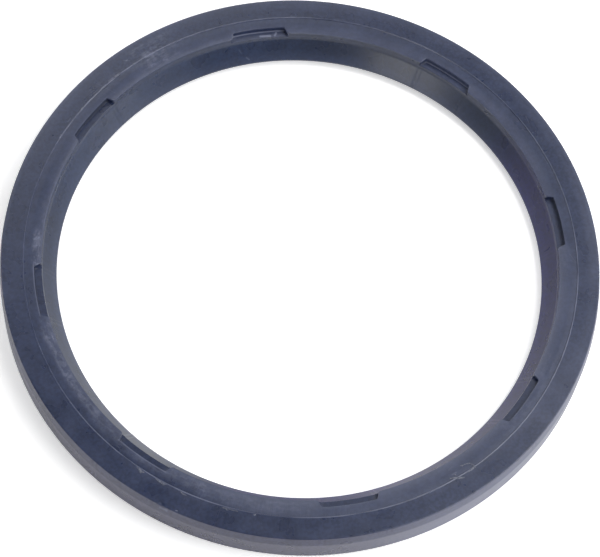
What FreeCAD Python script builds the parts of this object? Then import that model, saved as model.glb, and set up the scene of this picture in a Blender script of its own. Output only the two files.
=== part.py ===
import FreeCAD, Part
import math
import os

# Wiper seal for a hydraulic rod, moulded in one piece of nitrile rubber.
# Sizes are in millimetres and the axis of the ring is Z. The ring lies on its front face,
# the face that looks out of the cylinder in use. The heel face, with the slots, is on top.
# The origin is the centre of the ring on the plane of the front face.

# Overall size
outer_diameter = 120.0
ring_height = 8.5
heel_width = 8.4

# Outer wall: a short cone at the heel leads the ring into its groove, with a small bevel at the front
lead_in_height = 2.5
lead_in_draw = 0.42
heel_outer_edge_radius = 0.15
front_bevel = 0.3

# Heel face: the mould parts here, which leaves a fine ridge, and the face steps down inside it
mould_line_inset = 4.8
mould_ridge_width = 0.3
mould_ridge_height = 0.08
heel_step = 0.14
inner_flat_width = 1.2
inner_band_fall = 0.26
heel_inner_edge_radius = 0.3

# Bore: a straight land under the inner edge of the heel, then a cone down to the lip
land_height = 1.95
lip_reach = 2.7
lip_height = 1.6
lip_land_length = 0.4
lip_trim_angle = 45.0

# Relief groove in the front face, which lets the lip and the outer wall flex
groove_inset = 5.5
groove_mouth_width = 3.6
groove_bottom_width = 1.0
groove_depth = 3.6

# Slots that vent the heel, spaced evenly round its inner edge
slot_count = 8
slot_reach = 1.5
slot_width = 10.8
slot_depth = 1.4
slot_flare_angle = 18.0
slot_corner_radius = 0.35
slot_mouth_radius = 0.5

# Radii that follow from the sizes above
outer_radius = outer_diameter / 2
heel_bore_radius = outer_radius - heel_width
lip_radius = heel_bore_radius - lip_reach
mould_line_radius = outer_radius - mould_line_inset
groove_radius = outer_radius - groove_inset
slot_wall_radius = heel_bore_radius + slot_reach

# Heights that follow from the sizes above
band_height = ring_height - heel_step
heel_rim_height = band_height - inner_band_fall
land_bottom = heel_rim_height - land_height
slot_floor_height = band_height - slot_depth

# How far a cutting shape reaches past the ring, and how steeply a slot's mouth runs out
cut_clearance = 2.0
mouth_runout_angle = 12.0

axis_point = FreeCAD.Vector(0, 0, 0)
axis_direction = FreeCAD.Vector(0, 0, 1)


def section_point(radius, height):
    return FreeCAD.Vector(radius, 0, height)


def rounding(before, corner, after, radius):
    # Start, middle and end of the arc that rounds a corner between two straight runs.
    first = (before - corner).normalize()
    second = (after - corner).normalize()
    half_angle = first.getAngle(second) / 2
    setback = radius / math.tan(half_angle)
    inwards = (first + second).normalize()
    centre = corner + inwards * (radius / math.sin(half_angle))
    return corner + first * setback, centre - inwards * radius, corner + second * setback


def rounded_outline(corners):
    # A closed wire through (corner, radius) pairs. A radius of 0 leaves the corner sharp.
    edges = []
    starts = []
    ends = []
    for index, (corner, radius) in enumerate(corners):
        start, end = corner, corner
        if radius > 0:
            before = corners[index - 1][0]
            after = corners[(index + 1) % len(corners)][0]
            start, middle, end = rounding(before, corner, after, radius)
            edges.append(Part.Arc(start, middle, end).toShape())
        starts.append(start)
        ends.append(end)
    for index, end in enumerate(ends):
        next_start = starts[(index + 1) % len(starts)]
        edges.append(Part.LineSegment(end, next_start).toShape())
    return Part.Wire(Part.__sortEdges__(edges))


def outer_wall_corners():
    # From the front bevel up the cylindrical wall and the lead-in cone to the heel.
    return [
        (section_point(outer_radius - front_bevel, 0), 0),
        (section_point(outer_radius, front_bevel), 0),
        (section_point(outer_radius, ring_height - lead_in_height), 0),
        (section_point(outer_radius - lead_in_draw, ring_height), heel_outer_edge_radius),
    ]


def heel_face_corners():
    # Inwards over the mould ridge and its step, then down the gently falling inner band.
    ridge_outside = mould_line_radius + mould_ridge_width / 2
    ridge_inside = mould_line_radius - mould_ridge_width / 2
    return [
        (section_point(ridge_outside, ring_height), 0),
        (section_point(mould_line_radius, ring_height + mould_ridge_height), 0),
        (section_point(ridge_inside, band_height), 0),
        (section_point(ridge_inside - inner_flat_width, band_height), 0),
        (section_point(heel_bore_radius, heel_rim_height), heel_inner_edge_radius),
    ]


def bore_corners():
    # Down the land and the cone to the lip, then out along the trimmed face to the nose.
    nose_reach = lip_height * math.tan(math.radians(lip_trim_angle))
    return [
        (section_point(heel_bore_radius, land_bottom), 0),
        (section_point(lip_radius, lip_height + lip_land_length), 0),
        (section_point(lip_radius, lip_height), 0),
        (section_point(lip_radius + nose_reach, 0), 0),
    ]


def groove_corners():
    # Up one flank, across the narrow bottom and down the other flank.
    half_mouth = groove_mouth_width / 2
    half_bottom = groove_bottom_width / 2
    return [
        (section_point(groove_radius - half_mouth, 0), 0),
        (section_point(groove_radius - half_bottom, groove_depth), 0),
        (section_point(groove_radius + half_bottom, groove_depth), 0),
        (section_point(groove_radius + half_mouth, 0), 0),
    ]


def plain_ring():
    corners = outer_wall_corners() + heel_face_corners() + bore_corners() + groove_corners()
    section = Part.Face(rounded_outline(corners))
    return section.revolve(axis_point, axis_direction, 360)


def plan_point(x, y):
    return FreeCAD.Vector(x, y, slot_floor_height)


def mirrored(point):
    return FreeCAD.Vector(point.x, -point.y, point.z)


def slot_side():
    # One side of a slot along +X, in plan: it flares towards the bore, where it turns away.
    half_angle = math.asin(slot_width / 2 / slot_wall_radius)
    flare = math.radians(slot_flare_angle)
    wall_corner = plan_point(slot_wall_radius * math.cos(half_angle), slot_width / 2)
    inwards = FreeCAD.Vector(-math.cos(flare), math.sin(flare), 0)
    half_chord = wall_corner.dot(inwards)
    outside = slot_wall_radius ** 2 - heel_bore_radius ** 2
    to_bore = -half_chord - math.sqrt(half_chord ** 2 - outside)
    mouth = wall_corner + inwards * to_bore
    turn = math.atan2(mouth.y, mouth.x) + math.radians(90 + mouth_runout_angle)
    past_mouth = mouth + FreeCAD.Vector(math.cos(turn), math.sin(turn), 0) * cut_clearance
    return [
        (wall_corner - inwards * cut_clearance, 0),
        (mouth, slot_mouth_radius),
        (past_mouth, 0),
        (past_mouth - FreeCAD.Vector(cut_clearance, 0, 0), 0),
    ]


def slot_cutter():
    # The space of one slot along +X, with rounded corners at the ends of its outer wall.
    side = slot_side()
    other_side = [(mirrored(point), radius) for point, radius in reversed(side)]
    plan = Part.Face(rounded_outline(side + other_side))
    block = plan.extrude(FreeCAD.Vector(0, 0, slot_depth + cut_clearance))
    outer_wall = Part.makeCylinder(slot_wall_radius, ring_height + cut_clearance)
    space = block.common(outer_wall).Solids[0]
    upright = [edge for edge in space.Edges if is_wall_corner(edge)]
    return space.makeFillet(slot_corner_radius, upright)


def is_wall_corner(edge):
    # An upright edge on the slot's outer wall.
    ends = [vertex.Point for vertex in edge.Vertexes]
    on_wall = all(abs(math.hypot(p.x, p.y) - slot_wall_radius) < 1e-4 for p in ends)
    return on_wall and abs(ends[0].z - ends[-1].z) > slot_depth


def seal_ring():
    # The plain ring with a slot cut at each step round the heel.
    ring = plain_ring()
    cutter = slot_cutter()
    cutters = []
    for index in range(slot_count):
        turned = cutter.copy()
        turned.rotate(axis_point, axis_direction, 360.0 * index / slot_count)
        cutters.append(turned)
    return ring.cut(cutters)


ring = seal_ring()
if len(ring.Solids) != 1 or not ring.isValid():
    raise RuntimeError("the ring is not one sound solid")
os.makedirs("parts", exist_ok=True)
ring.Solids[0].exportStep("parts/seal_ring.step")
print("volume", round(ring.Volume, 2), "box", ring.optimalBoundingBox(False))
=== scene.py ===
import math

import bmesh
import bpy
from mathutils import Matrix, Vector, noise


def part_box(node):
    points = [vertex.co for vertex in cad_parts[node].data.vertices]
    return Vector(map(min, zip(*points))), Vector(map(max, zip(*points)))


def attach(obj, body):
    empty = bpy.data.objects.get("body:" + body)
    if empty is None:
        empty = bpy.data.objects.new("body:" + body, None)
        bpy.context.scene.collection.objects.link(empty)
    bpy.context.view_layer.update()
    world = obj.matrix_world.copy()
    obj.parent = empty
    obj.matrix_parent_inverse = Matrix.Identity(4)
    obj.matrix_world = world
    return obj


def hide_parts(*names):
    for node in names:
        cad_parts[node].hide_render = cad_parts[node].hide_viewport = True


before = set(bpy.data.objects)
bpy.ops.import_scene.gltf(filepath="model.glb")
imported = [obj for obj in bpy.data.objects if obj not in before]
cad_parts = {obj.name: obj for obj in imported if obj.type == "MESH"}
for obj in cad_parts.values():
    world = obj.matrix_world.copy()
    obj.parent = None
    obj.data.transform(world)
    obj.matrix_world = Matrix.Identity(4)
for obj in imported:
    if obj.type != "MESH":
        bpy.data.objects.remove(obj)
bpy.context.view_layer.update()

# Ring body
# The seal is one ring of nitrile rubber, pressed in a heated mould. Its heel, on top, has eight
# vent slots in the inner edge; a cone leads down the bore to the lip, and a groove relieves the
# front face that it lies on.
mm = 0.001
slot_count = 8
slot_step = math.tau / slot_count
steps_round = 720
cad_margin = 0.02 * mm
outer_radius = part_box("seal_ring")[1].x - cad_margin
heel_height = 8.5 * mm
heel_edge_start = 58.6 * mm
heel_edge_flat = 59.3 * mm
lead_in_foot = 6.0 * mm
lead_in_draw = 0.42 * mm
front_bevel = 0.3 * mm
mould_line_radius = 55.2 * mm
ridge_inner_foot = 55.05 * mm
ridge_outer_foot = 55.37 * mm
ridge_outline = ((-0.09, 8.48), (-0.02, 8.56), (0.09, 8.545))
ridge_margin = 0.06 * mm
band_height = 8.36 * mm
band_radius = 54.2 * mm
band_fall = 0.26 * mm
band_curve = 1.5
bore_radius = 51.6 * mm
slot_wall_radius = 53.1 * mm
slot_half_width = 5.4 * mm
slot_flare = math.radians(18.0)
slot_corner_radius = 0.35 * mm
slot_mouth_radius = 0.5 * mm
slot_floor = 6.96 * mm
land_bottom = 6.15 * mm
lip_radius = 48.9 * mm
lip_top = 2.0 * mm
lip_bottom = 1.6 * mm
nose_radius = 50.5 * mm
groove_inside = 52.7 * mm
groove_outside = 56.3 * mm
groove_bottom_inside = 54.0 * mm
groove_bottom_outside = 55.0 * mm
groove_depth = 3.6 * mm

# Places closer together than this count as one
hair = 0.01 * mm
hair_angle = 1e-4


def from_slot(x, y):
    """The angle from the middle of the nearest slot."""
    turn = math.atan2(y, x)
    return turn - slot_step * round(turn / slot_step)


def band_top(radius):
    """The height of the heel's inner band, which curves down towards the bore."""
    share = max(0.0, (band_radius - radius) / (band_radius - bore_radius))
    return band_height - band_fall * share ** band_curve


def start_mesh():
    """The selected mesh, open for editing, with nothing selected."""
    bpy.ops.object.mode_set(mode="EDIT")
    bpy.ops.mesh.select_mode(type="VERT")
    bpy.ops.mesh.select_all(action="DESELECT")
    return bmesh.from_edit_mesh(bpy.context.object.data)


def select_points(test):
    """Selects the points for which test(radius, height, angle from a slot) holds."""
    form = bmesh.from_edit_mesh(bpy.context.object.data)
    bpy.ops.mesh.select_mode(type="VERT")
    for point in form.verts:
        x, y, z = point.co
        point.select_set(test(math.hypot(x, y), z, from_slot(x, y)))
    form.select_flush_mode()
    bmesh.update_edit_mesh(bpy.context.object.data)


def select_edges(test):
    """Selects the edges both of whose ends pass test(radius, height, angle from a slot)."""
    form = bmesh.from_edit_mesh(bpy.context.object.data)
    bpy.ops.mesh.select_mode(type="EDGE")
    bpy.ops.mesh.select_all(action="DESELECT")
    for edge in form.edges:
        ends = [(point.co.x, point.co.y, point.co.z) for point in edge.verts]
        edge.select_set(all(test(math.hypot(x, y), z, from_slot(x, y)) for x, y, z in ends))
    bmesh.update_edit_mesh(bpy.context.object.data)


def round_edges(test, size, segments):
    """Rounds the edges that select_edges finds with a test."""
    select_edges(test)
    bpy.ops.mesh.bevel(
        offset=size, offset_type="OFFSET", segments=segments, affect="EDGES", clamp_overlap=True
    )


def place_selected(new_radius, new_height):
    """Moves each selected point to new_radius(radius) and new_height(radius), at its own angle."""
    form = bmesh.from_edit_mesh(bpy.context.object.data)
    for point in form.verts:
        if point.select:
            reach = math.hypot(point.co.x, point.co.y)
            target = new_radius(reach)
            point.co.x *= target / reach
            point.co.y *= target / reach
            point.co.z = new_height(target)
    bmesh.update_edit_mesh(bpy.context.object.data)


def next_loop(new_radius, new_height):
    """Draws the selected outline on to its next place in the section."""
    bpy.ops.mesh.extrude_region_move()
    place_selected(new_radius, new_height)


def plain_loop(loop_radius, loop_height):
    """The next outline is a circle, at one radius and height."""
    next_loop(lambda old: loop_radius, lambda new: loop_height)


# The heel's inner outline comes first: a circle whose points are drawn out to the slots' walls
bpy.ops.object.select_all(action="DESELECT")
bpy.ops.mesh.primitive_circle_add(
    vertices=steps_round, radius=bore_radius, fill_type="NGON", location=(0, 0, slot_floor)
)
ring = bpy.context.object
ring.name = "moulded_ring"
bpy.ops.object.transform_apply(location=True, rotation=True, scale=True)

wall_corner = Vector((math.sqrt(slot_wall_radius ** 2 - slot_half_width ** 2), slot_half_width))
flare_way = Vector((-math.cos(slot_flare), math.sin(slot_flare)))
along = wall_corner.dot(flare_way)
mouth_corner = wall_corner + flare_way * (
    -along - math.sqrt(along ** 2 - slot_wall_radius ** 2 + bore_radius ** 2)
)
wall_angle = math.atan2(wall_corner.y, wall_corner.x)
mouth_angle = math.atan2(mouth_corner.y, mouth_corner.x)
circle_step = math.tau / steps_round
wall_step = round(wall_angle / circle_step)
mouth_step = wall_step + 1

form = start_mesh()
for point in form.verts:
    offset = from_slot(point.co.x, point.co.y)
    step = round(abs(offset) / circle_step)
    if step > mouth_step:
        continue
    side = math.copysign(1.0, offset)
    middle = math.atan2(point.co.y, point.co.x) - offset
    reach = slot_wall_radius
    if step == mouth_step:
        offset = mouth_angle * side
        reach = bore_radius
    elif step == wall_step:
        offset = wall_angle * side
    point.co.x = reach * math.cos(middle + offset)
    point.co.y = reach * math.sin(middle + offset)
bmesh.update_edit_mesh(ring.data)

# The slots' corners and mouths are rounded while the outline is still flat
wall_turn = Vector((math.sin(wall_angle), -math.cos(wall_angle))).angle(flare_way) / 2
mouth_turn = Vector((-math.sin(mouth_angle), math.cos(mouth_angle))).angle(-flare_way) / 2
corners = [
    (wall_angle, slot_corner_radius / math.tan(wall_turn), 4),
    (mouth_angle, slot_mouth_radius / math.tan(mouth_turn), 5),
]
for corner_angle, setback, segments in corners:
    select_points(lambda r, z, a: abs(abs(a) - corner_angle) < hair_angle)
    bpy.ops.mesh.bevel(
        offset=setback, offset_type="OFFSET", segments=segments, affect="VERTICES"
    )
bpy.ops.mesh.select_all(action="SELECT")
bpy.ops.mesh.delete(type="ONLY_FACE")

# The outline is drawn up to the heel, out over the band and the mould line, and round the section
bpy.ops.mesh.select_all(action="SELECT")
next_loop(lambda old: old, band_top)
for share in (0.25, 0.3, 0.35, 0.5, 1.0):
    next_loop(lambda old: old + (band_radius - old) * share, band_top)
section = [(ridge_inner_foot - ridge_margin, band_height), (ridge_inner_foot, band_height)]
section += [(mould_line_radius + reach * mm, lift * mm) for reach, lift in ridge_outline]
section += [
    (ridge_outer_foot, heel_height),
    (ridge_outer_foot + ridge_margin, heel_height),
    (heel_edge_start, heel_height),
    (heel_edge_flat, heel_height),
    (outer_radius - lead_in_draw, heel_height),
    (outer_radius, lead_in_foot),
    (outer_radius, front_bevel),
    (outer_radius - front_bevel, 0.0),
    (groove_outside, 0.0),
    (groove_bottom_outside, groove_depth),
    (groove_bottom_inside, groove_depth),
    (groove_inside, 0.0),
    (nose_radius, 0.0),
    (lip_radius, lip_bottom),
    (lip_radius, lip_top),
    (bore_radius, land_bottom),
    (bore_radius, slot_floor),
]
for loop_radius, loop_height in section:
    plain_loop(loop_radius, loop_height)
select_edges(lambda r, z, a: abs(z - slot_floor) < hair and r < slot_wall_radius + hair)
bpy.ops.mesh.bridge_edge_loops()
bpy.ops.mesh.select_all(action="SELECT")
bpy.ops.mesh.remove_doubles(threshold=hair)
bpy.ops.mesh.dissolve_degenerate(threshold=hair / 10)
bpy.ops.mesh.select_all(action="SELECT")
bpy.ops.mesh.normals_make_consistent(inside=False)

# Every edge of the section is rounded as rubber leaves a mould: its radius, its height, the size
# of the rounding and its segments
roundings = [
    (outer_radius - lead_in_draw, heel_height, 0.16 * mm, 4),
    (outer_radius, lead_in_foot, 0.3 * mm, 3),
    (outer_radius, front_bevel, 0.12 * mm, 3),
    (outer_radius - front_bevel, 0.0, 0.12 * mm, 3),
    (groove_outside, 0.0, 0.1 * mm, 2),
    (groove_bottom_outside, groove_depth, 0.38 * mm, 4),
    (groove_bottom_inside, groove_depth, 0.38 * mm, 4),
    (groove_inside, 0.0, 0.1 * mm, 2),
    (nose_radius, 0.0, 0.1 * mm, 2),
    (lip_radius, lip_bottom, 0.08 * mm, 2),
    (lip_radius, lip_top, 0.15 * mm, 3),
    (bore_radius, land_bottom, 0.35 * mm, 4),
]
for edge_radius, edge_height, size, segments in roundings:
    round_edges(
        lambda r, z, a: abs(r - edge_radius) < hair and abs(z - edge_height) < hair, size, segments
    )

# So are the edges that follow the slots: the rim, the inner edge of each floor and the wall's foot
rim_rounding = 0.13 * mm
floor_rounding = 0.12 * mm
wall_foot_rounding = 0.2 * mm
rounded_mouth_angle = mouth_angle + 0.012
wall_foot_start = bore_radius + 0.4 * mm


def on_rim(r, z, a):
    """On the heel's inner edge, which runs round the slots too."""
    by_slot = r < slot_wall_radius + hair and abs(a) < rounded_mouth_angle
    return abs(z - band_top(r)) < hair and (abs(r - bore_radius) < hair or by_slot)


def on_floor_edge(r, z, a):
    """On the inner edge of a slot's floor, where it ends at the bore."""
    in_bore = abs(r - bore_radius) < hair
    return in_bore and abs(z - slot_floor) < hair and abs(a) < wall_angle - hair_angle


def on_wall_foot(r, z, a):
    """Where a slot's wall stands on its floor."""
    return abs(z - slot_floor) < hair and wall_foot_start < r < slot_wall_radius + hair


round_edges(on_rim, rim_rounding, 3)
round_edges(on_floor_edge, floor_rounding, 2)
round_edges(on_wall_foot, wall_foot_rounding, 3)

# The flash left where the mould parts isn't even
ridge_crest = 8.505 * mm
ridge_top = 8.58 * mm
ridge_half_width = 0.16 * mm
waver_length = 2.5 * mm
waver_reach = 0.05 * mm
ragged_length = 0.7 * mm
ragged_height = 0.025 * mm
form = start_mesh()
for point in form.verts:
    x, y, z = point.co
    reach = math.hypot(x, y)
    if z > ridge_crest and abs(reach - mould_line_radius) < ridge_half_width:
        waver = noise.noise(Vector((x, y, 0.0)) / waver_length)
        ragged = noise.noise(Vector((x, y, 5.0)) / ragged_length)
        point.co.x *= 1 + waver_reach * waver / reach
        point.co.y *= 1 + waver_reach * waver / reach
        point.co.z = min(ridge_top, z + ragged_height * ragged)
bmesh.update_edit_mesh(ring.data)

select_edges(lambda r, z, a: abs(r - ridge_inner_foot) < hair and z < band_height + hair)
bpy.ops.mesh.mark_sharp()
select_edges(lambda r, z, a: abs(r - ridge_outer_foot) < hair and z > heel_height - hair)
bpy.ops.mesh.mark_sharp()

# The outer edge has a small bite out of it, ragged and sunk in and down
bite_angle = math.radians(-126.1)
bite_half_length = 0.85 * mm
bite_reach = 0.7 * mm
bite_depth = 0.16 * mm
bite_grain = 0.25 * mm
bite_raggedness = 0.6
bite_inwards = 0.8
bite_downwards = 0.7
patch_half_length = 1.7 * mm
patch_foot = 5.5 * mm


def from_bite(point):
    """How far along the edge a point lies from the middle of the bite."""
    turn = math.atan2(point.co.y, point.co.x) - bite_angle
    return turn * outer_radius


def by_bite(point):
    """Whether a point lies on the patch of the edge that is cut finer for the bite."""
    on_edge = math.hypot(point.co.x, point.co.y) > heel_edge_start - hair
    return on_edge and point.co.z > patch_foot and abs(from_bite(point)) < patch_half_length


bpy.ops.mesh.select_mode(type="FACE")
for face in form.faces:
    face.select_set(all(by_bite(point) for point in face.verts))
bmesh.update_edit_mesh(ring.data)
bpy.ops.mesh.subdivide(number_cuts=3)
form = bmesh.from_edit_mesh(ring.data)
for point in form.verts:
    if abs(from_bite(point)) > bite_half_length:
        continue
    x, y, z = point.co
    reach = math.hypot(x, y)
    from_edge = math.hypot(reach - (outer_radius - lead_in_draw), z - heel_height)
    if from_edge < bite_reach:
        share = (1 - (from_bite(point) / bite_half_length) ** 2) * (1 - from_edge / bite_reach)
        ragged = 1 + bite_raggedness * noise.noise(Vector((x, y, z)) / bite_grain)
        sink = bite_depth * share * ragged
        point.co.x *= 1 - bite_inwards * sink / reach
        point.co.y *= 1 - bite_inwards * sink / reach
        point.co.z = z - bite_downwards * sink
bmesh.update_edit_mesh(ring.data)
bpy.ops.object.mode_set(mode="OBJECT")
bpy.ops.object.shade_smooth_by_angle(angle=math.radians(40.0))
flats = ring.modifiers.new("flat_faces", "WEIGHTED_NORMAL")
flats.mode = "FACE_AREA"
flats.weight = 90
flats.keep_sharp = True
bpy.ops.object.modifier_apply(modifier=flats.name)

# The rubber's finish follows the ring: every pattern is laid out by radius, angle and height


class Tone:
    """A number, colour or direction that varies over the surface."""

    def __init__(self, tree, socket=None):
        self.tree = tree
        self.socket = socket

    def node(self, kind, settings, values, output=0):
        """Adds a node: its settings come first, then its sockets' values or links."""
        made = self.tree.nodes.new("ShaderNode" + kind)
        for name, setting in settings.items():
            setattr(made, name, setting)
        for name, value in values.items():
            if isinstance(value, Tone):
                self.tree.links.new(value.socket, made.inputs[name])
            else:
                made.inputs[name].default_value = value
        return Tone(self.tree, made.outputs[output])

    def maths(self, operation, *others):
        return self.node("Math", {"operation": operation}, dict(enumerate((self,) + others)))

    def __add__(self, other):
        return self.maths("ADD", other)

    def __sub__(self, other):
        return self.maths("SUBTRACT", other)

    def __rsub__(self, other):
        return (self * -1.0).maths("ADD", other)

    def __mul__(self, other):
        return self.maths("MULTIPLY", other)

    def __truediv__(self, other):
        return self.maths("DIVIDE", other)

    def __pow__(self, other):
        return self.maths("POWER", other)

    __radd__ = __add__
    __rmul__ = __mul__

    def rise(self, start, end):
        """0 below start, 1 above end and smooth between; falls instead where end is below start."""
        limits = {"From Min": start, "From Max": end, "Value": self}
        return self.node("MapRange", {"interpolation_type": "SMOOTHSTEP"}, limits)

    def window(self, start, end, blur):
        """1 between two values and 0 beyond them, with blurred ends."""
        return self.rise(start - blur, start + blur) * self.rise(end + blur, end - blur)

    def vector(self, operation, other, output=0):
        return self.node("VectorMath", {"operation": operation}, {0: self, 1: other}, output)

    def noise(self, scale, detail=2.0, roughness=0.5):
        values = {"Vector": self, "Scale": scale, "Detail": detail, "Roughness": roughness}
        return self.node("TexNoise", {}, values)

    def between(self, first, second):
        """A colour: the first where this number is 0, the second where it is 1."""
        return self.node("Mix", {"data_type": "RGBA"}, {0: self, 6: first, 7: second}, output=2)

    def scaling(self, what):
        """A colour or direction made larger or smaller by this number."""
        return self.node("VectorMath", {"operation": "SCALE"}, {0: what, 3: self})

    def bump(self, depth):
        """A Normal that takes this number as a height."""
        return self.node("Bump", {}, {"Strength": 1.0, "Distance": depth, "Height": self})

    def streak(self, start, end, half_width):
        """1 on the line between two points of the heel, given in millimetres, and 0 beside it."""
        first = Vector((start[0], start[1], 0.0)) * mm
        run = Vector((end[0], end[1], 0.0)) * mm - first
        offset = self.vector("SUBTRACT", first)
        share = offset.vector("DOT_PRODUCT", run / run.length_squared, output=1)
        foot = share.maths("MAXIMUM", 0.0).maths("MINIMUM", 1.0).scaling(run)
        return offset.vector("DISTANCE", foot, output=1).rise(half_width * mm, 0.0)


def finish(name):
    """A new material, its shader, and the Object coordinates to lay patterns out by."""
    material = bpy.data.materials.new(name)
    material.use_nodes = True
    tree = material.node_tree
    place = Tone(tree).node("TexCoord", {}, {}, output="Object")
    return material, tree.nodes["Principled BSDF"], place


def feed(shader, **tones):
    """Links each tone to the shader's socket of that name."""
    for name, tone in tones.items():
        tone.tree.links.new(tone.socket, shader.inputs[name.replace("_", " ")])


rubber_colour = (0.0229, 0.0332, 0.0773, 1.0)
bloom_and_light_colour = (0.186, 0.205, 0.296, 1.0)
wall_colour = (0.0627, 0.0638, 0.122, 1.0)
cone_colour = (0.0175, 0.030, 0.074, 1.0)
# The cone on the near side takes a darker, bluer copy of the cone's colour: painted shade
near_cone_colour = (0.012, 0.014, 0.112, 1.0)

rubber, shader, place = finish("nitrile_rubber")
across, back, height = (
    place.node("SeparateXYZ", {}, {0: place}, output=axis) for axis in range(3)
)
radius = (across * across + back * back) ** 0.5
degrees = back.maths("ARCTAN2", across) * math.degrees(1.0)
flat_place = place.vector("MULTIPLY", (1.0, 1.0, 0.0))
from_slot_middle = degrees.maths("PINGPONG", math.degrees(slot_step) / 2)


def drawn_out(by_angle, by_radius, detail, roughness=0.5, by_height=0.0):
    """Noise drawn out along the ring: the larger a number, the finer the pattern that way."""
    laid = {0: across / radius * by_angle, 1: back / radius * by_angle}
    laid[2] = radius * by_radius + height * by_height
    return place.node("CombineXYZ", {}, laid).noise(1.0, detail, roughness)


# Patterns: soft clouds, mottled bloom, fine arcs and wisps drawn out by handling, and specks
broad = drawn_out(5.0, 700.0, 2.0, by_height=500.0)
cloud = place.noise(210.0, 2.0, 0.55)
drift = place.noise(45.0, 2.0)
grain = place.noise(5200.0, 2.0, 0.6)
fleck = place.noise(1500.0, 1.0, 0.5).rise(0.3, 0.7)
speck = place.noise(2400.0, 2.0, 0.6).rise(0.58, 0.74)
mottle = place.noise(800.0, 3.0, 0.7).rise(0.47, 0.6)
wisps = drawn_out(26.0, 1500.0, 3.0, 0.65).rise(0.46, 0.62)
arcs = drawn_out(30.0, 5200.0, 2.0, 0.6).rise(0.60, 0.72)
rub = drawn_out(200.0, 300.0, 2.0, 0.6).rise(0.48, 0.72)
line_share = flat_place.noise(110.0, 3.0, 0.7).rise(0.36, 0.62)

# Areas of the outer wall, the heel and the bore
outer_wall = radius.rise(59.42 * mm, 59.56 * mm)
low_wall = outer_wall * height.rise(6.2 * mm, 5.4 * mm)
on_top = height.rise(8.0 * mm, 8.2 * mm)
outer_edge = radius.rise(58.6 * mm, 59.3 * mm) * on_top
outer_face = radius.rise(56.8 * mm, 58.4 * mm) * on_top
inner_face = radius.rise(55.12 * mm, 55.0 * mm) * on_top
outside_line = on_top * (1.0 - inner_face)
beside_line = radius.rise(57.2 * mm, 55.4 * mm) * outside_line
from_line = (radius - mould_line_radius).maths("ABSOLUTE")
mould_line = from_line.rise(0.18 * mm, 0.06 * mm) * height.rise(8.28 * mm, 8.35 * mm)
band = radius.rise(54.3 * mm, 52.9 * mm) * height.rise(7.7 * mm, 8.05 * mm)
rim = radius.rise(53.1 * mm, 51.8 * mm) * height.rise(7.6 * mm, 8.0 * mm)
# A pale line along the rounded inner rim: partly wear, partly painted highlight
from_rim = (radius - 51.72 * mm).maths("ABSOLUTE")
rim_wear_and_highlight = from_rim.rise(0.16 * mm, 0.05 * mm) * height.rise(7.75 * mm, 7.95 * mm)
cone = radius.rise(51.7 * mm, 51.5 * mm)
low_cone = cone * height.rise(4.4 * mm, 2.1 * mm)
# The bore's cone above its lower part, least at the back and back left, is darkened in colour
# below: painted shade
high_cone = (cone - low_cone) * (1.0 - degrees.window(86.0, 158.0, 8.0) * 0.9)
# Where the cone takes that darker, bluer copy of its colour: painted shade
near_cone = cone * degrees.window(-118.0, 22.0, 10.0)

# Areas of the slots: the floor, the outer wall, its foot and its edge at the heel
slot_bed = height.window(6.85 * mm, 7.06 * mm, 0.04 * mm) * radius.window(
    51.6 * mm, 53.2 * mm, 0.1 * mm
)
slot_wall = height.window(6.92 * mm, 8.22 * mm, 0.04 * mm) * radius.window(
    52.9 * mm, 53.2 * mm, 0.03 * mm
)
wall_foot = height.window(6.8 * mm, 7.2 * mm, 0.08 * mm) * radius.window(
    52.86 * mm, 53.14 * mm, 0.06 * mm
)
in_slot = from_slot_middle.rise(6.3, 5.9)
wall_edge = radius.window(53.14 * mm, 53.34 * mm, 0.05 * mm) * in_slot * on_top
# On the left the slots' wall edges get a painted highlight
wall_edge_highlight = wall_edge * (degrees.rise(-95.0, -115.0) + degrees.rise(160.0, 170.0))
# On the right and from the back left round to the left, the slots' outer walls are darkened in
# colour below: painted shade
shaded_wall = slot_wall * (1.0 - degrees.window(-160.0, -10.0, 5.0))
shaded_wall = shaded_wall * (1.0 - degrees.window(30.0, 112.0, 5.0))

# Bloom is the pale film that comes out of the rubber; the same pale colour also paints light.
# This much lies all round the ring. The pale lines along the rounded rim are partly wear and partly
# painted highlight, and those along the slots' wall edges on the left are painted highlights.
bloom_and_painted_light = inner_face * 0.02 + band * 0.055 + rim * 0.07 + low_cone * 0.08
bloom_and_painted_light = bloom_and_painted_light + (cloud - 0.42).maths("MAXIMUM", 0.0) * on_top * 0.16
bloom_and_painted_light = bloom_and_painted_light + speck * on_top * 0.04 + arcs * (band * 0.05 + 0.012)
bloom_and_painted_light = bloom_and_painted_light + rim_wear_and_highlight * (line_share * 0.05 + 0.03) + wall_edge_highlight * 0.28

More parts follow.
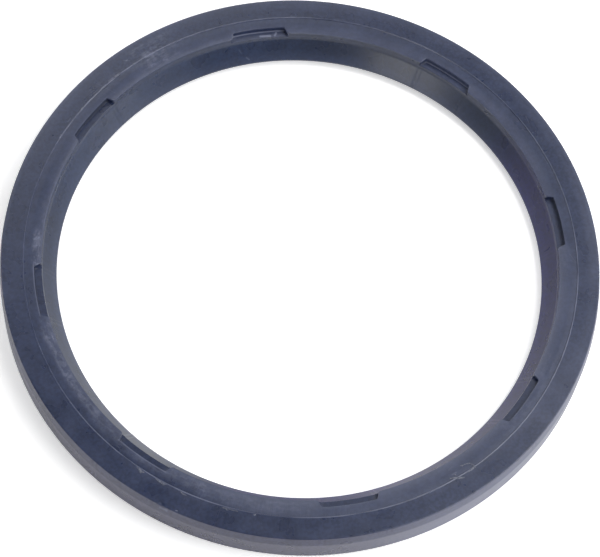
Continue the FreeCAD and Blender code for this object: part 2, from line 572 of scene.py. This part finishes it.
# More of this pale colour lies on part of the way round: an area, the start and end of that part
# and the blur of its ends in degrees, and how strong it is. The rows for the outer wall on the near
# right are painted light, as are those for the slots' floors at the back and for the slots' walls
# at the back right; the rows for the rim at the back left and for the foot of the slots' walls are
# painted highlights.
rubbed_heel = rub * on_top * (radius.rise(58.6 * mm, 57.6 * mm) * 0.03 + inner_face * 0.05)
spans = [
    (inner_face, -118.0, -14.0, 10.0, 0.17),
    (inner_face, -14.0, 150.0, 10.0, 0.06),
    (band, -14.0, 150.0, 10.0, 0.05),
    (outer_face, -14.0, 150.0, 10.0, 0.08),
    (outer_face, -30.0, 8.0, 8.0, 0.06),
    (outer_edge, -8.0, 165.0, 8.0, 0.12),
    (beside_line, -141.0, -116.0, 6.0, 0.09),
    (beside_line, -78.0, -45.0, 8.0, 0.10),
    (outside_line, -50.0, -28.0, 8.0, 0.10),
    (rubbed_heel, -124.0, -88.0, 7.0, 1.0),
    (speck * on_top, 12.0, 52.0, 8.0, 0.07),
    (cone, 30.0, 60.0, 10.0, 0.05),
    (outer_wall, -86.0, 24.0, 12.0, 0.27),
    (low_wall, -86.0, 24.0, 12.0, 0.06),
    (low_wall, -86.0, -46.0, 10.0, 0.16),
    (rim_wear_and_highlight, 151.0, 171.0, 4.0, 0.14),
    (slot_bed, -112.0, 112.0, 5.0, 0.10),
    (slot_bed, 67.0, 112.0, 5.0, 0.07),
    (wall_foot, 20.0, 112.0, 5.0, 0.45),
    (slot_wall, 30.0, 60.0, 5.0, 0.12),
]
for area, start, end, blur, strength in spans:
    bloom_and_painted_light = bloom_and_painted_light + area * degrees.window(start, end, blur) * strength

# Patches on the heel where it is mottled and wiped: start and end in degrees, inner and outer
# radius in millimetres, and strength
patches = [
    (109.0, 118.5, 52.0, 58.4, 0.20),
    (112.0, 116.5, 52.6, 56.2, 0.22),
    (119.0, 131.0, 54.0, 57.0, 0.10),
    (165.8, 174.8, 51.9, 53.4, 0.50),
    (157.5, 165.0, 51.8, 53.2, 0.12),
    (-173.0, -168.0, 51.6, 53.8, 0.28),
    (-169.0, -158.0, 51.6, 53.4, 0.34),
    (-160.0, -148.0, 51.6, 53.4, 0.30),
    (-148.0, -120.0, 51.6, 54.4, 0.16),
    (-121.0, -98.0, 52.0, 54.6, 0.12),
    (-54.0, -32.0, 52.0, 54.6, 0.10),
    (-14.0, -6.0, 52.0, 54.0, 0.08),
    (28.0, 52.0, 51.6, 53.6, 0.06),
]
patchy = (mottle * 0.55 + wisps * 0.65 + 0.1) * on_top
for start, end, inside, outside, strength in patches:
    patch = degrees.window(start, end, 1.2) * radius.window(inside * mm, outside * mm, 0.5 * mm)
    bloom_and_painted_light = bloom_and_painted_light + patch * patchy * strength

# The mould line is painted paler on parts of the way round: partly its pale flash, partly painted
# light over the shade on its ridge's inner side and a painted highlight: start and end in degrees,
# and strength
line_pale_and_lit = [
    (-166.0, -91.0, 0.12),
    (-166.0, -141.0, 0.09),
    (-141.0, -116.0, 0.20),
    (-116.0, -91.0, 0.09),
    (-91.0, -1.0, 0.20),
    (-1.0, 99.0, 0.12),
    (99.0, 134.0, 0.22),
    (134.0, 164.0, 0.08),
]
line_strength = 0.19
for start, end, strength in line_pale_and_lit:
    line_strength = line_strength + degrees.window(start, end, 4.0) * strength
bloom_and_painted_light = bloom_and_painted_light + mould_line * line_strength * (line_share + 0.6)

# Scratches and small chips: start, end and half width in millimetres, and strength
scratches = [
    ((-35.6, 45.1), (-31.5, 42.0), 0.10, 0.16),
    ((-32.6, 44.9), (-31.6, 45.6), 0.24, 0.30),
    ((-31.2, 45.8), (-30.2, 46.5), 0.24, 0.42),
    ((-34.3, 43.4), (-33.3, 44.2), 0.20, 0.34),
    ((-42.1, 36.6), (-41.4, 37.4), 0.18, 0.22),
    ((-44.1, 33.2), (-43.8, 33.8), 0.22, 0.55),
    ((-28.4, 49.2), (-28.1, 49.4), 0.20, 0.40),
    ((-29.0, 49.4), (-27.6, 49.1), 0.16, 0.20),
    ((-26.4, 51.6), (-24.2, 52.7), 0.16, 0.14),
    ((-52.2, 11.2), (-51.4, 11.7), 0.16, 0.28),
    ((53.2, -7.7), (54.0, -9.7), 0.10, 0.20),
    ((53.0, -9.0), (53.9, -9.9), 0.08, 0.16),
    ((0.3, 52.04), (2.3, 51.88), 0.42, 0.9),
    ((3.3, 51.85), (3.7, 52.45), 0.36, 0.75),
    ((-3.0, 49.6), (-2.4, 49.3), 0.18, 0.30),
    ((-4.4, 50.6), (-4.0, 50.2), 0.20, 0.16),
    ((-52.9, -17.6), (-47.4, -30.9), 0.12, 0.06),
    ((-54.6, -1.8), (-54.9, -6.0), 0.10, 0.10),
    ((20.4, -50.2), (21.2, -49.9), 0.25, 0.25),
    ((19.9, -49.2), (20.7, -48.6), 0.22, 0.12),
    ((-32.75, -49.35), (-32.45, -49.45), 0.14, 1.0),
    ((-35.6, -47.9), (-34.3, -48.85), 0.14, 0.5),
    ((51.5, 22.6), (51.2, 24.4), 0.14, 0.10),
    ((52.6, 15.2), (53.3, 13.0), 0.14, 0.10),
]
for start, end, half_width, strength in scratches:
    bloom_and_painted_light = bloom_and_painted_light + flat_place.streak(start, end, half_width) * strength

# The bare rubber's colour goes under the bloom and the painted light. It is clouded and flecked,
# and painted shade darkens it on the slots' outer walls in places and on the top of the bore's
# cone;
# the cone's strip on the near side takes a darker, bluer copy of the cone's colour, also painted
# shade.
tinted = (outer_wall * (1.0 - height.rise(5.9 * mm, 6.1 * mm) * 0.4)).between(
    rubber_colour, wall_colour
)
tinted = near_cone.between(cone.between(tinted, cone_colour), near_cone_colour)
shade = (cloud * 0.5 + drift * 0.5).rise(0.25, 0.75) * 0.3 + broad * 0.2 + 0.75
shade = shade * (fleck * 0.36 + 0.82) * (1.0 - shaded_wall * 0.4) * (1.0 - high_cone * 0.25)
tinted = bloom_and_painted_light.maths("MINIMUM", 1.0).between(shade.scaling(tinted), bloom_and_light_colour)

# Where the edges at the back left were handled most they are duller
handled_edges = radius.rise(52.0 * mm, 51.8 * mm) + in_slot * radius.window(
    52.95 * mm, 53.3 * mm, 0.05 * mm
)
handled = degrees.window(96.0, 172.0, 6.0) * height.rise(7.5 * mm, 7.9 * mm) * handled_edges
dull_cone = cone * degrees.window(-128.0, -85.0, 12.0)
satin = 0.28 + (cloud - 0.5) * 0.08 + bloom_and_painted_light * 0.10
satin = satin + (handled + shaded_wall) * 0.3 + dull_cone * 0.25
relief = grain * 0.25 + cloud * (1.6 - outer_wall)
feed(shader, Base_Color=tinted, Roughness=satin, Normal=relief.bump(0.004 * mm))
ring.data.materials.append(rubber)
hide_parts("seal_ring")
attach(ring, "root")

# Torn flash
# Thin rubber squeezed out where the mould parts was torn off by hand. What is left are pale
# slivers and nibs along the mould line, and one scrap that ends in a loose curl.
strand_sides = 6
strand_end_taper = 0.35
strand_top = 8.578 * mm
tear_length = 0.4 * mm
tear_raggedness = 0.5
sliver_step = 0.25
sliver_lift = 8.51
sliver_waver = 0.08
sliver_half_height = 0.05
nib_half_height = 0.06


def strand(points, half_width, half_height):
    """One tapered strip through points of (radius, angle in degrees, height), in millimetres."""
    path = []
    for reach, bearing, lift in points:
        turn = math.radians(bearing)
        path.append(Vector((reach * math.cos(turn), reach * math.sin(turn), lift)) * mm)
    bpy.ops.object.select_all(action="DESELECT")
    bpy.ops.mesh.primitive_circle_add(
        vertices=strand_sides, radius=mm, fill_type="NGON", location=(0, 0, 0)
    )
    strip = bpy.context.object
    turns = [math.atan2(point.co.y, point.co.x) for point in strip.data.vertices]
    start_mesh()
    bpy.ops.mesh.select_all(action="SELECT")
    for index, centre in enumerate(path):
        ahead = path[min(index + 1, len(path) - 1)] - path[max(index - 1, 0)]
        side = ahead.cross(Vector((0, 0, 1))).normalized()
        taper = strand_end_taper if index in (0, len(path) - 1) else 1.0
        ragged = 1 + tear_raggedness * noise.noise(centre / tear_length)
        if index:
            bpy.ops.mesh.extrude_region_move()
        form = bmesh.from_edit_mesh(strip.data)
        chosen = [point for point in form.verts if point.select]
        form.verts.index_update()
        for point, turn in zip(sorted(chosen, key=lambda one: one.index), turns):
            wide = side * math.cos(turn) * half_width * mm * taper * ragged
            high = Vector((0, 0, 1)) * math.sin(turn) * half_height * mm * taper
            point.co = centre + wide + high
            point.co.z = min(point.co.z, strand_top)
        bmesh.update_edit_mesh(strip.data)
    bpy.ops.mesh.select_all(action="SELECT")
    bpy.ops.mesh.normals_make_consistent(inside=False)
    bpy.ops.object.mode_set(mode="OBJECT")
    return strip


def sliver(start, end, reach, half_width):
    """A strip left along the mould line between two angles, in degrees."""
    count = max(3, round(abs(end - start) / sliver_step))
    points = []
    for index in range(count + 1):
        bearing = start + (end - start) * index / count
        waver = noise.noise(Vector((bearing * 1.7, reach, 0.0)))
        points.append((reach + sliver_waver * waver, bearing, sliver_lift))
    return strand(points, half_width, sliver_half_height)


# Slivers: start and end in degrees, radius and half width in millimetres
slivers = [
    (128.9, 126.6, 55.15, 0.17),
    (124.9, 122.6, 55.28, 0.21),
    (119.7, 118.6, 55.25, 0.15),
    (117.9, 116.6, 55.25, 0.15),
    (139.0, 136.4, 55.22, 0.11),
    (135.6, 133.0, 55.22, 0.12),
    (142.9, 142.3, 55.25, 0.14),
    (244.2, 247.6, 55.50, 0.10),
    (250.6, 251.1, 55.42, 0.20),
    (165.9, 166.3, 55.2, 0.14),
    (15.6, 14.2, 55.2, 0.10),
]

# Nibs and the scrap: points of (radius, angle in degrees, height), then the half width
nibs = [
    ([(55.3, 225.5, 8.5), (55.5, 226.3, 8.52), (55.62, 227.0, 8.52), (55.5, 227.5, 8.5)], 0.26),
    ([(55.4, 225.9, 8.5), (55.9, 226.9, 8.51), (56.0, 227.1, 8.5)], 0.18),
    ([(55.35, 230.0, 8.5), (55.5, 230.8, 8.52), (55.5, 231.6, 8.52), (55.4, 232.5, 8.5)], 0.20),
    ([(55.4, 231.4, 8.5), (55.75, 231.9, 8.51), (55.7, 232.2, 8.5)], 0.14),
    ([(55.4, 235.6, 8.5), (55.6, 236.2, 8.52), (55.65, 237.0, 8.5)], 0.17),
    ([(55.6, 245.0, 8.5), (55.75, 245.4, 8.5), (55.7, 245.8, 8.5)], 0.10),
]
scrap_tail = [
    (54.58, 291.2, 8.42),
    (54.87, 291.7, 8.46),
    (55.1, 292.2, 8.52),
    (55.3, 292.6, 8.53),
    (55.6, 293.1, 8.52),
    (55.94, 293.8, 8.51),
]
scrap_curl = [
    (55.3, 294.0, 8.52),
    (55.36, 295.2, 8.52),
    (55.42, 296.3, 8.52),
    (55.3, 296.8, 8.52),
    (54.93, 296.9, 8.48),
    (54.5, 296.75, 8.42),
    (54.16, 296.5, 8.4),
    (53.94, 296.0, 8.4),
    (53.75, 295.4, 8.39),
    (53.62, 294.8, 8.38),
]
scrap = [
    (scrap_tail, 0.20),
    ([(54.4, 292.3, 8.39), (54.55, 292.6, 8.41), (54.8, 292.7, 8.45)], 0.17),
    (scrap_curl, 0.13),
    ([(55.2, 296.4, 8.5), (55.35, 296.7, 8.53), (55.5, 297.0, 8.52)], 0.22),
    ([(53.5, 294.6, 8.37), (53.7, 294.9, 8.39), (53.9, 295.0, 8.37)], 0.2),
]
parts = [sliver(*values) for values in slivers]
parts += [strand(points, half_width, nib_half_height) for points, half_width in nibs + scrap]
bpy.ops.object.select_all(action="DESELECT")
for part in parts:
    part.select_set(True)
flash = parts[0]
bpy.context.view_layer.objects.active = flash
bpy.ops.object.join()
flash.name = "torn_flash"
bpy.ops.object.shade_smooth_by_angle(angle=math.radians(50.0))

thin_colour = (0.06, 0.07, 0.115, 1.0)
torn_colour = (0.17, 0.185, 0.235, 1.0)
pale, shader, place = finish("torn_rubber")
speckle = place.noise(2600.0, 3.0, 0.6)
feed(
    shader,
    Base_Color=speckle.rise(0.35, 0.7).between(thin_colour, torn_colour),
    Roughness=0.42 + (speckle - 0.5) * 0.3,
    Normal=speckle.bump(0.02 * mm),
)
flash.data.materials.append(pale)
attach(flash, "root")

# Stage
# A white sweep, flat where the ring lies and curved up to a low wall round it, under soft boxes.
sweep_radius = 1.6
bend_radius = 0.4
sweep_rim = 1.0
bpy.ops.object.select_all(action="DESELECT")
bpy.ops.mesh.primitive_circle_add(
    vertices=96, radius=sweep_radius, fill_type="NGON", location=(0, 0, 0)
)
sweep = bpy.context.object
sweep.name = "sweep"
start_mesh()
bpy.ops.mesh.select_all(action="SELECT")
for slope in range(10, 91, 10):
    turn = math.radians(slope)
    plain_loop(sweep_radius + bend_radius * math.sin(turn), bend_radius * (1 - math.cos(turn)))
plain_loop(sweep_radius + bend_radius, sweep_rim)
bpy.ops.mesh.delete(type="FACE")
bpy.ops.mesh.select_all(action="SELECT")
bpy.ops.mesh.normals_make_consistent(inside=True)
bpy.ops.object.mode_set(mode="OBJECT")
bpy.ops.object.shade_smooth_by_angle(angle=math.radians(30.0))

# It is matt paper to the light, and glows white where the camera sees it, straight or mirrored
white, shader, place = finish("white_sweep")
shader.inputs["Base Color"].default_value = (0.92, 0.92, 0.92, 1.0)
shader.inputs["Roughness"].default_value = 0.9
shader.inputs["Specular IOR Level"].default_value = 0.0
seen = place.node("LightPath", {}, {}, output="Is Camera Ray")
mirrored = place.node("LightPath", {}, {}, output="Is Glossy Ray")
through = place.node("LightPath", {}, {}, output="Is Transmission Ray")
shown = seen.maths("MAXIMUM", mirrored).maths("MAXIMUM", through)
glow = place.node("Emission", {}, {"Strength": 0.25})
plain = Tone(place.tree, shader.outputs["BSDF"])
bright = place.node("AddShader", {}, {0: plain, 1: glow})
brighter = place.node("AddShader", {}, {0: bright, 1: glow})
lit = place.node("MixShader", {}, {0: shown, 1: plain, 2: bright})
lit = place.node("MixShader", {}, {0: seen, 1: lit, 2: brighter})
feed(place.tree.nodes["Material Output"], Surface=lit)
sweep.data.materials.append(white)

world = bpy.data.worlds.new("studio")
bpy.context.scene.world = world
world.use_nodes = True
backing = world.node_tree.nodes["Background"]
backing.inputs["Color"].default_value = (1, 1, 1, 1)
feed(backing, Strength=Tone(world.node_tree).node("LightPath", {}, {}, output="Is Camera Ray"))

# Soft boxes stand one metre from the ring: name, azimuth and elevation in degrees, and watts
box_size = 0.5
soft_boxes = [
    ("high_right", 0, 68, 3.4),
    ("key_right", 315, 50, 1.8),
    ("side_right", 337, 32, 1.8),
    ("mid_right", 0, 50, 1.0),
    ("back_right", 35, 50, 1.0),
    ("back_high", 90, 50, 1.0),
    ("back_left", 120, 50, 1.0),
    ("front_left", 225, 32, 0.6),
    ("low_right", 337, 4, 3.4),
    ("low_front", 315, 4, 0.9),
    ("low_left", 225, 4, 2.2),
    ("low_side", 165, 4, 1.2),
    ("low_back", 90, 4, 2.2),
]
for name, azimuth, elevation, watts in soft_boxes:
    turn, lift = math.radians(azimuth), math.radians(elevation)
    way = Vector((math.cos(turn) * math.cos(lift), math.sin(turn) * math.cos(lift), math.sin(lift)))
    box = bpy.data.objects.new(name, bpy.data.lights.new(name, "AREA"))
    bpy.context.scene.collection.objects.link(box)
    box.data.shape = "DISK"
    box.data.size = box_size
    box.data.energy = watts
    box.visible_camera = False
    box.location = way
    box.rotation_euler = way.to_track_quat("Z", "Y").to_euler()

bpy.context.scene.view_settings.view_transform = "Standard"

# The camera stands where the photo was taken from
camera_azimuth = math.radians(-15.94)
camera_elevation = math.radians(63.79)
camera_distance = 446.1 * mm
camera_roll = math.radians(6.751)
aim_across = math.radians(-0.020)
aim_up = math.radians(-0.616)
turn = (
    Matrix.Rotation(camera_azimuth, 4, "Z")
    @ Matrix.Rotation(math.pi / 2 - camera_elevation, 4, "X")
)
stand = Vector((0, 0, heel_height)) + turn.to_3x3() @ Vector((0, 0, camera_distance))
camera = bpy.data.objects.new("camera", bpy.data.cameras.new("camera"))
bpy.context.scene.collection.objects.link(camera)
camera.matrix_world = (
    Matrix.Translation(stand)
    @ turn
    @ Matrix.Rotation(aim_across, 4, "Y")
    @ Matrix.Rotation(aim_up, 4, "X")
    @ Matrix.Rotation(camera_roll, 4, "Z")
)
camera.data.lens = 134.5
camera.data.sensor_width = 36.0
camera.data.clip_start = 0.01
bpy.context.scene.camera = camera
